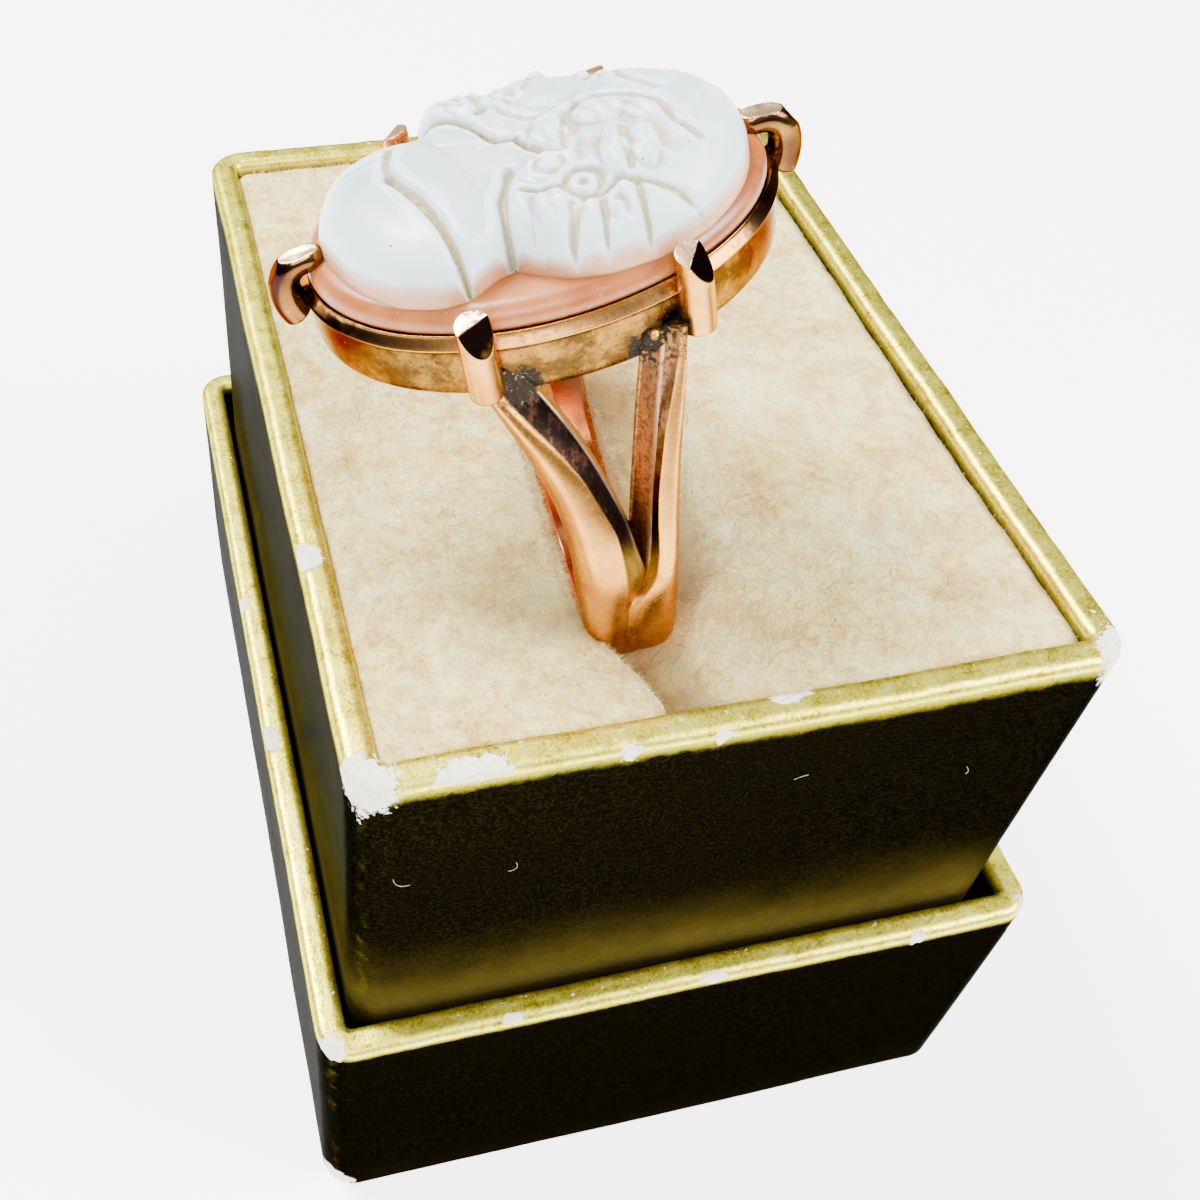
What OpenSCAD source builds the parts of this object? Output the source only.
// Cameo ring standing in the slot of its open ring box.
// Millimetres. X runs to the right, Y away from the viewer and Z up.
// The origin is the middle of the lower box's base.

/* [Upper box] */
// Width of the upper box, left to right
tray_w = 32.2; // [31:0.1:40]
// Depth of the upper box, front to back
tray_d = 42.2; // [41:0.1:52]
// Height of the upper box
tray_h = 35.35; // [30:0.05:44]
// Thickness of the covered card of both boxes
board = 1.4; // [1:0.1:2]
// Radius of the upright corners of both boxes
corner_r = 1.7; // [1.5:0.1:2.4]

/* [Lower box] */
// Height of the lower box
lid_h = 17.6; // [14:0.1:22]
// Free width left inside the lower box beside the upper one
lid_play_w = 1; // [0.6:0.1:3]
// Free depth left inside the lower box behind the upper one
lid_play_d = 2.3; // [1:0.1:4]
// Gap at the left side of the upper box
tray_gap_left = 0.3; // [0.1:0.05:0.5]
// Gap at the front of the upper box
tray_gap_front = 0.15; // [0.1:0.05:0.5]

/* [Velvet pad] */
// Depth of the left pad's top below the rim
pad_left_drop = 0.4; // [0.2:0.1:1.5]
// Depth of the right pad's top below the rim
pad_right_drop = 0.7; // [0.2:0.1:1.5]
// Gap between the pads and the upper box
pad_play = 0.15; // [0.05:0.05:0.4]
// Gap between the two pads, in front of the ring and behind it
slot_gap = 0.2; // [0.1:0.05:0.6]
// Gap between the hoop and the pads that hold it
hoop_gap = 0.25; // [0.1:0.05:0.4]
// How far the pads' edges are worn down beside the slot
edge_reach = 2.6; // [1:0.1:4]

/* [Where the ring stands] */
// Middle of the finger hole, to the right of the upper box's middle
ring_x = -3.4; // [-5:0.1:5]
// Middle of the finger hole, behind the upper box's middle
ring_y = -6.1; // [-7:0.1:7]
// Middle of the finger hole, above the upper box's rim
ring_lift = 2; // [0:0.1:3]
// Lean of the ring to the left, in degrees
ring_lean = 13.5; // [0:0.5:15]
// Turn of the ring seen from above, in degrees
ring_turn = -3.5; // [-8:0.5:8]

/* [Hoop] */
// Diameter of the finger hole
finger_d = 17.5; // [16:0.1:19]
// Thickness of the hoop at its shoulders
shoulder_t = 1.4; // [1.2:0.05:1.8]
// Width over both arms where they meet the head
split_w = 7.8; // [6.6:0.1:8.5]
// Clear width between the two arms at the head
split_gap = 5; // [3:0.1:5.4]
// How far the split lies right of the middle of the hoop
split_shift = 0.85; // [0:0.05:1]

/* [Head] */
// Length of the oval collet
head_l = 18; // [17:0.1:20]
// Width of the oval collet
head_w = 13; // [12:0.1:15]
// Height of the collet
collet_h = 2.7; // [2.2:0.1:3.4]
// Thickness of the collet's wall
collet_t = 0.9; // [0.7:0.05:1.2]
// Height of the collet above the finger hole
head_lift = 0.4; // [0.2:0.1:1.5]
// Turn of the head on the hoop, in degrees
head_turn = 3; // [-5:0.5:5]
// Diameter of a claw
claw_d = 1.5; // [1.2:0.05:1.8]
// Height of the side claws' filed tops above the collet
claw_rise = 1.2; // [1:0.05:1.6]
// Length of a side claw below the collet's top
claw_drop = 2.35; // [2:0.05:3.4]
// Height of the end claws' filed tops above the collet
end_claw_rise = 1.45; // [1.2:0.05:1.8]
// Length of an end claw below the collet's top
end_claw_drop = 1.35; // [1.2:0.05:3.4]
// Angle of the four side claws round the oval, in degrees from its end
claw_angle = 64; // [50:1:70]

/* [Cameo] */
// Height of the coral ground above the collet
ground_h = 0.9; // [0.7:0.05:1.2]
// Height of the upright edge of the coral ground
girdle_h = 0.45; // [0.3:0.05:0.6]
// Width of the sloping edge of the coral ground
ground_slope = 0.5; // [0.3:0.05:0.8]
// Depth of the seat that lets the ground into the collet
seat_d = 0.35; // [0.2:0.05:0.5]
// Width of the collet's rim that shows beside the stone
rim_show = 0.3; // [0.15:0.05:0.4]
// Height of the white relief above its ground
relief_h = 2.3; // [1.6:0.1:3]

/* [Hidden] */
$fn = 48;
seat = 0.05;       // gap between pieces that stand or lie on each other
stone_gap = 0.05;  // gap between the stone and the metal
far = 300;         // longer than anything here

lid_in_w = tray_w + lid_play_w;
lid_in_d = tray_d + lid_play_d;
lid_w = lid_in_w + 2 * board;
lid_d = lid_in_d + 2 * board;
tray_x = (tray_w - lid_in_w) / 2 + tray_gap_left;
tray_y = (tray_d - lid_in_d) / 2 + tray_gap_front;
tray_z = board + seat;
rim_z = tray_z + tray_h;
pad_z = tray_z + board + seat;
ring_z = rim_z + ring_lift;

finger_r = finger_d / 2;
hoop_r = finger_r + shoulder_t;
collet_z = finger_r + head_lift;
collet_top = collet_z + collet_h;
head_a = head_l / 2;
head_b = head_w / 2;
stone_a = head_a - rim_show;
stone_b = head_b - rim_show;

// The box pieces

module rounded_sheet(w, d, r) {
    square([w - 2 * r, d], center = true);
    square([w, d - 2 * r], center = true);
    for (sx = [-1, 1], sy = [-1, 1])
        translate([sx * (w / 2 - r), sy * (d / 2 - r)]) circle(r);
}

module open_box(w, d, h) {
    difference() {
        linear_extrude(h) rounded_sheet(w, d, corner_r);
        translate([0, 0, board])
            linear_extrude(h) rounded_sheet(w - 2 * board, d - 2 * board, corner_r - board + 0.2);
    }
}

module lid() {
    color("darkgoldenrod") open_box(lid_w, lid_d, lid_h);
}

module tray() {
    color("goldenrod") translate([tray_x, tray_y, tray_z]) open_box(tray_w, tray_d, tray_h);
}

// The ring's own frame: X across the hoop, Y through the finger hole's plane, Z towards the cameo

module ring_frame() {
    translate([tray_x + ring_x, tray_y + ring_y, ring_z])
        rotate([0, -ring_lean, ring_turn]) children();
}

// A pad fills one side of the upper box up to the leaning slot, with a pocket for the hoop

module pad(side, drop) {
    top = rim_z - drop;
    slot_x = ring_x + (ring_z - top) * tan(ring_lean);
    edge_drop = side > 0 ? 1.3 : 0.4;
    difference() {
        translate([tray_x, tray_y, pad_z])
            linear_extrude(top - pad_z)
                rounded_sheet(tray_w - 2 * board - 2 * pad_play, tray_d - 2 * board - 2 * pad_play, 0.5);
        ring_frame() {
            translate([slot_gap / 2 * side - far / 2 * side, 0, 0]) cube(far, center = true);
            rotate([0, 90, 0]) cylinder(r = hoop_r + hoop_gap, h = 4 + 2 * hoop_gap, center = true);
        }
        translate([tray_x + slot_x, tray_y + ring_y, top]) rotate([90, 0, ring_turn])
            linear_extrude(far, center = true)
                polygon([[side * edge_reach, 0], [side * edge_reach, 1], [-side * edge_reach, 1],
                         [-side * edge_reach, -2 * edge_drop]]);
    }
}

module pad_left() {
    color("wheat") pad(-1, pad_left_drop);
}

module pad_right() {
    color("antiquewhite") pad(1, pad_right_drop);
}

split_way = 0.6;  // where the two arms part, as a share of their way
low_steps = 26;
top_steps = 14;

// The hoop. An arm runs from the bottom of the hoop, round the finger hole and straight up
// to the collet. Each row of SHOULDERS is one section, as shares of the named sizes:
//   way    share of the arm's way from the bottom of the hoop to the head
//   outer  outer edge, as a share of half of split_w
//   gap    inner edge, as a share of half of split_gap
//   thick  thickness, as a share of shoulder_t
//   inner  height of the inner edge, as a share of the thickness there
//   bevel  width of the slope down to the inner edge, as a share of the arm's width
//   shift  how far the split's middle lies to the right, as a share of split_shift
//   lean   how far both outer edges lie to the right, as a share of split_shift
SHOULDERS = [
    [0.00, 0.44, 0.00, 0.86, 1.00, 0.25, 0.00, 0.00],
    [0.30, 0.45, 0.00, 0.90, 0.98, 0.26, 0.00, 0.00],
    [0.46, 0.475, 0.00, 0.96, 0.92, 0.28, 0.00, 0.00],
    [0.56, 0.51, 0.00, 1.00, 0.80, 0.32, 0.50, 0.05],
    [split_way, 0.515, 0.00, 1.00, 0.60, 0.34, 1.00, 0.10],
    [0.66, 0.535, 0.10, 1.00, 0.56, 0.34, 1.00, 0.30],
    [0.73, 0.57, 0.22, 1.00, 0.56, 0.34, 1.00, 0.48],
    [0.80, 0.665, 0.37, 1.00, 0.56, 0.34, 0.95, 0.42],
    [0.87, 0.785, 0.56, 1.00, 0.56, 0.40, 0.82, 0.32],
    [0.93, 0.89, 0.75, 0.98, 0.58, 0.46, 0.60, 0.18],
    [1.00, 1.00, 1.00, 0.95, 0.60, 0.46, 0.27, 0.00]];

wall_y = head_b - collet_t - 0.15;
wall_z = collet_z + 0.9;
wall_far = norm([wall_y, wall_z]);
leave = atan2(wall_z, wall_y) - acos(finger_r / wall_far);  // where the arm leaves the round
round_len = finger_r * (90 + leave) * PI / 180;
straight_len = sqrt(wall_far * wall_far - finger_r * finger_r);
arm_len = round_len + straight_len;

function column(i, way) = lookup(way, [for (row = SHOULDERS) [row[0], row[i]]]);
function arm_angle(way) = min(leave, -90 + way * arm_len / finger_r * 180 / PI);
function arm_foot(way) =
    let (a = arm_angle(way), on = max(0, way * arm_len - round_len))
    [finger_r * cos(a) - on * sin(a), finger_r * sin(a) + on * cos(a)];

// One arm's section from its inner foot, round the lobe, to its inner edge: [across, height]
function arm_section(side, way) =
    let (outer = side * split_w / 2 * column(1, way) + split_shift * column(7, way),
         inner = side * split_gap / 2 * column(2, way) + split_shift * column(6, way),
         w = abs(outer - inner),
         t = shoulder_t * column(3, way),
         slope = w * column(5, way),
         crest = (w - slope) * 0.55,
         lobe = [for (q = [0:22.5:90]) [crest * (1 - cos(q)), t * (0.3 + 0.7 * sin(q))]])
    [for (p = concat([[w, 0], [0.12 * w, 0]], lobe, [[w - slope, 0.94 * t], [w, t * column(4, way)]]))
        [outer - side * p[0], p[1]]];

// The hoop runs from the near side of the head, under the finger, to the far side: two arms
// that share their inner foot and edge as long as they are one band
function way_at(i) = abs(i) < low_steps ? abs(i) / low_steps * split_way
    : split_way + (abs(i) - low_steps) / top_steps * (1 - split_way);
function arm_ring(side, i) =
    let (way = way_at(i), a = arm_angle(way), foot = arm_foot(way), toward = i < 0 ? -1 : 1)
    [for (p = arm_section(side, way))
        [p[0], toward * (foot[0] + p[1] * cos(a)), foot[1] + p[1] * sin(a)]];

module hoop() {
    all = low_steps + top_steps;
    m = 2 * all + 1;
    n = len(arm_section(1, 0));
    points = [for (side = [-1, 1], i = [-all:all], p = arm_ring(side, i)) p];
    strip = [for (i = [0:m - 2], j = [0:n - 1])
        if (j < n - 1 || abs(i + 0.5 - all) > low_steps)
            let (k = (j + 1) % n) [i * n + k, (i + 1) * n + k, (i + 1) * n + j, i * n + j]];
    ends = [[for (j = [n - 1:-1:0]) j], [for (j = [0:n - 1]) (m - 1) * n + j]];
    left = concat(strip, ends);
    right = [for (f = left) [for (i = [len(f) - 1:-1:0]) f[i] + m * n]];
    polyhedron(points, concat(left, right));
}

// A skin over rings of points, counterclockwise from low to high; closed joins the last to the first
module skin(rings, closed = false) {
    n = len(rings[0]);
    m = len(rings);
    walls = [for (i = [0:m - (closed ? 1 : 2)], j = [0:n - 1], half = [0, 1])
        let (k = (i + 1) % m, l = (j + 1) % n)
        half == 0 ? [i * n + j, k * n + l, i * n + l] : [i * n + j, k * n + j, k * n + l]];
    caps = closed ? [] : [[for (j = [0:n - 1]) j], [for (j = [n - 1:-1:0]) (m - 1) * n + j]];
    polyhedron([for (r = rings, p = r) p], concat(walls, caps));
}

// The oval head. rim_point gives a point of the oval, moved outwards by off
function rim_point(a, b, t, off, z) =
    let (n = [cos(t) / a, sin(t) / b], u = n / norm(n))
    [a * cos(t) + off * u[0], b * sin(t) + off * u[1], z];
head_steps = 84;
claw_spin = 2;  // turn of the wire's facets

module oval_ring(a, b, profile) {
    skin([for (i = [0:head_steps - 1])
        [for (p = profile) rim_point(a, b, -i * 360 / head_steps, p[0], p[1])]], closed = true);
}

module collet() {
    ledge = rim_show + collet_t * 0.45;
    oval_ring(head_a, head_b, [
        [-collet_t, collet_z], [-0.2, collet_z], [0, collet_z + 0.2], [0, collet_top - 0.4],
        [0.1, collet_top - 0.4], [0.1, collet_top], [-ledge, collet_top],
        [-ledge, collet_top - seat_d - 2 * stone_gap], [-collet_t, collet_top - seat_d - 2 * stone_gap]]);
}

// The coral ground, grown by gap where it is cut out of the claws
module ground_form(gap = 0) {
    low = collet_top + stone_gap - gap;
    seat_in = collet_t * 0.45 + stone_gap - gap;
    skin([for (row = [
            [-seat_in, low - seat_d], [-seat_in, low], [gap, low], [gap, collet_top + girdle_h],
            [gap - ground_slope * 0.4, collet_top + girdle_h + (ground_h - girdle_h) * 0.68 + gap],
            [gap - ground_slope, collet_top + ground_h + gap]])
        [for (i = [0:head_steps - 1]) rim_point(stone_a, stone_b, i * 360 / head_steps, row[0], row[1])]]);
}

// A claw is a round wire, soldered outside the collet, pressed over the stone and filed flat
module claw(t, rise, drop, reach) {
    r = claw_d / 2;
    foot = rim_point(head_a, head_b, t, r / 2, collet_top);
    out = rim_point(head_a, head_b, t, 1, collet_top) - foot;
    difference() {
        translate(foot) rotate([0, 0, atan2(out[1], out[0])]) hull() {
            translate([0, 0, -drop]) rotate(claw_spin) cylinder(r = r - 0.2, h = drop, $fn = 22);
            translate([0, 0, 0.15 - drop]) rotate(claw_spin) cylinder(r = r, h = drop + 0.15, $fn = 22);
            translate([-reach, 0, rise]) rotate([0, 9, 0]) translate([0, 0, -0.2])
                rotate(claw_spin) cylinder(r = 0.86 * r, h = 0.2, $fn = 22);
        }
        ground_form(stone_gap);
    }
}

// Solder where an arm meets the head
module solder(side, toward) {
    hull() {
        translate([side * split_w / 2 * 1.03, toward * head_b * 0.94, collet_z + 0.62]) sphere(0.42, $fn = 14);
        translate([side * split_w / 2 * 0.8, toward * head_b * 0.975, collet_z + 1.12]) sphere(0.38, $fn = 14);
    }
}

module ring_mount() {
    color("peru") ring_frame() {
        hoop();
        for (side = [-1, 1], toward = [-1, 1]) solder(side, toward);
        rotate([0, 0, head_turn]) {
            collet();
            for (t = [0, 180]) claw(t, end_claw_rise, end_claw_drop, 0.6);
            for (t = [claw_angle, 180 - claw_angle, 180 + claw_angle, -claw_angle])
                claw(t, claw_rise, claw_drop, 0.32);
        }
    }
}

module cameo_ground() {
    color("lightsalmon") ring_frame() rotate([0, 0, head_turn]) ground_form();
}

// The white bust lies along the oval with the top of its head to the right, in profile towards
// the far side. OUTLINE goes round the oval: [angle, distance from the middle as a share].
OUTLINE = [
    [-180, 0.89], [-165, 0.88], [-150, 0.91], [-135, 0.92], [-124, 0.91], [-117, 0.87], [-112, 0.72],
    [-106, 0.64], [-98, 0.69], [-90, 0.77], [-80, 0.85], [-68, 0.90], [-52, 0.93], [-35, 0.94],
    [-15, 0.93], [5, 0.92], [20, 0.90], [32, 0.86], [44, 0.83], [55, 0.81], [60, 0.79], [66, 0.78],
    [70, 0.80], [76, 0.85], [79, 0.84], [81, 0.76], [84, 0.77], [87, 0.73], [91, 0.75], [96, 0.71],
    [102, 0.77], [110, 0.83], [117, 0.82], [123, 0.70], [129, 0.60], [136, 0.66], [146, 0.82],
    [157, 0.88], [180, 0.89]];
// MASSES are the rounded forms: [x, y, reach along x, reach along y] as shares of the half axes,
// then the turn in degrees and the height as a share.
MASSES = [
    [-0.66, -0.12, 0.40, 0.86, 16, 1.00],
    [-0.30, -0.16, 0.34, 0.80, 20, 0.80],
    [-0.16, 0.46, 0.34, 0.44, 6, 0.95],
    [0.20, 0.36, 0.40, 0.50, 0, 0.78],
    [0.14, 0.74, 0.16, 0.26, -20, 0.62],
    [0.12, -0.52, 0.24, 0.44, 0, 0.98],
    [0.36, -0.56, 0.24, 0.42, 0, 0.96],
    [0.62, -0.10, 0.46, 0.92, -8, 1.00]];
// CUTS are carved lines: [x, y, x, y] as shares of the half axes, then the depth as a share.
CUTS = [
    [-0.55, 0.05, -0.49, -0.30, 0.16], [-0.49, -0.30, -0.34, -0.86, 0.18], [-0.72, 0.28, -0.56, 0.24, 0.08],
    [-0.40, 0.56, -0.24, 0.34, 0.16], [-0.24, 0.34, -0.06, 0.10, 0.14], [-0.06, 0.10, 0.06, -0.12, 0.12],
    [-0.12, -0.30, -0.20, -0.80, 0.15], [0.06, -0.12, 0.28, -0.16, 0.10], [0.28, -0.16, 0.44, 0.26, 0.10],
    [0.44, 0.26, 0.56, 0.62, 0.10], [0.26, -0.74, 0.30, -0.95, 0.10], [0.50, -0.30, 0.60, -0.70, 0.06],
    [0.66, 0.40, 0.78, -0.10, 0.05], [0.20, 0.46, 0.32, 0.50, 0.05], [-0.02, 0.64, 0.06, 0.56, 0.05]];
// CURLS are ring-shaped cuts: [x, y, radius in mm, depth as a share]
CURLS = [[0.13, -0.52, 0.95, 0.12], [0.33, -0.50, 0.85, 0.12], [0.02, -0.36, 0.60, 0.08], [-0.06, 0.36, 0.60, 0.08],
    [-0.22, 0.52, 0.60, 0.08]];
cut_w = 0.4;  // width of a carved line

function outline(t) = lookup(t, OUTLINE);
function dip(d, depth) = depth * exp(-d * d / (cut_w * cut_w));
function mass_at(m, x, y) =
    let (dx = x - m[0], dy = y - m[1],
         u = (dx * cos(m[4]) + dy * sin(m[4])) / m[2], v = (dy * cos(m[4]) - dx * sin(m[4])) / m[3])
    m[5] * exp(-1.1 * pow(u * u + v * v, 1.5));
function cut_at(c, p) =
    let (a = [c[0] * stone_a, c[1] * stone_b], ab = [c[2] * stone_a, c[3] * stone_b] - a, ap = p - a,
         s = max(0, min(1, (ap * ab) / (ab * ab))))
    dip(norm(ap - s * ab), c[4]);
function curl_at(c, p) = dip(norm(p - [c[0] * stone_a, c[1] * stone_b]) - c[2], c[3]);
function sum_of(list, i = 0) = i >= len(list) ? 0 : list[i] + sum_of(list, i + 1);
function relief_at(x, y, share) =
    let (p = [x * stone_a, y * stone_b],
         body = 0.66 + 0.34 * pow(sum_of([for (m = MASSES) pow(mass_at(m, x, y), 4)]), 0.25),
         cut = max(max([for (c = CUTS) cut_at(c, p)]), max([for (c = CURLS) curl_at(c, p)])))
    relief_h * body * (1 - cut) * sqrt(1 - pow(share, 6));
relief_spokes = 120;
relief_rings = 25;
relief_low = 0.2;  // height of the upright foot of the relief

module cameo_relief() {
    z0 = collet_top + ground_h + seat / 2;
    shares = [for (i = [relief_rings:-1:1]) pow(i / relief_rings, 0.75)];
    spokes = [for (j = [0:relief_spokes - 1]) -180 + j * 360 / relief_spokes];
    foot = [for (t = spokes) [outline(t) * stone_a * cos(t), outline(t) * stone_b * sin(t), z0]];
    middle = relief_at(0, 0, 0);
    rings = [for (s = shares) [for (t = spokes)
        let (x = s * outline(t) * cos(t), y = s * outline(t) * sin(t),
             near = max(0, 1 - (s - shares[relief_rings - 1]) / 0.15))
        [x * stone_a, y * stone_b, z0 + relief_low + middle * near + relief_at(x, y, s) * (1 - near)]]];
    color("aliceblue") ring_frame() rotate([0, 0, head_turn]) skin(concat([foot], rings));
}

lid();
tray();
pad_left();
pad_right();
ring_mount();
cameo_ground();
cameo_relief();
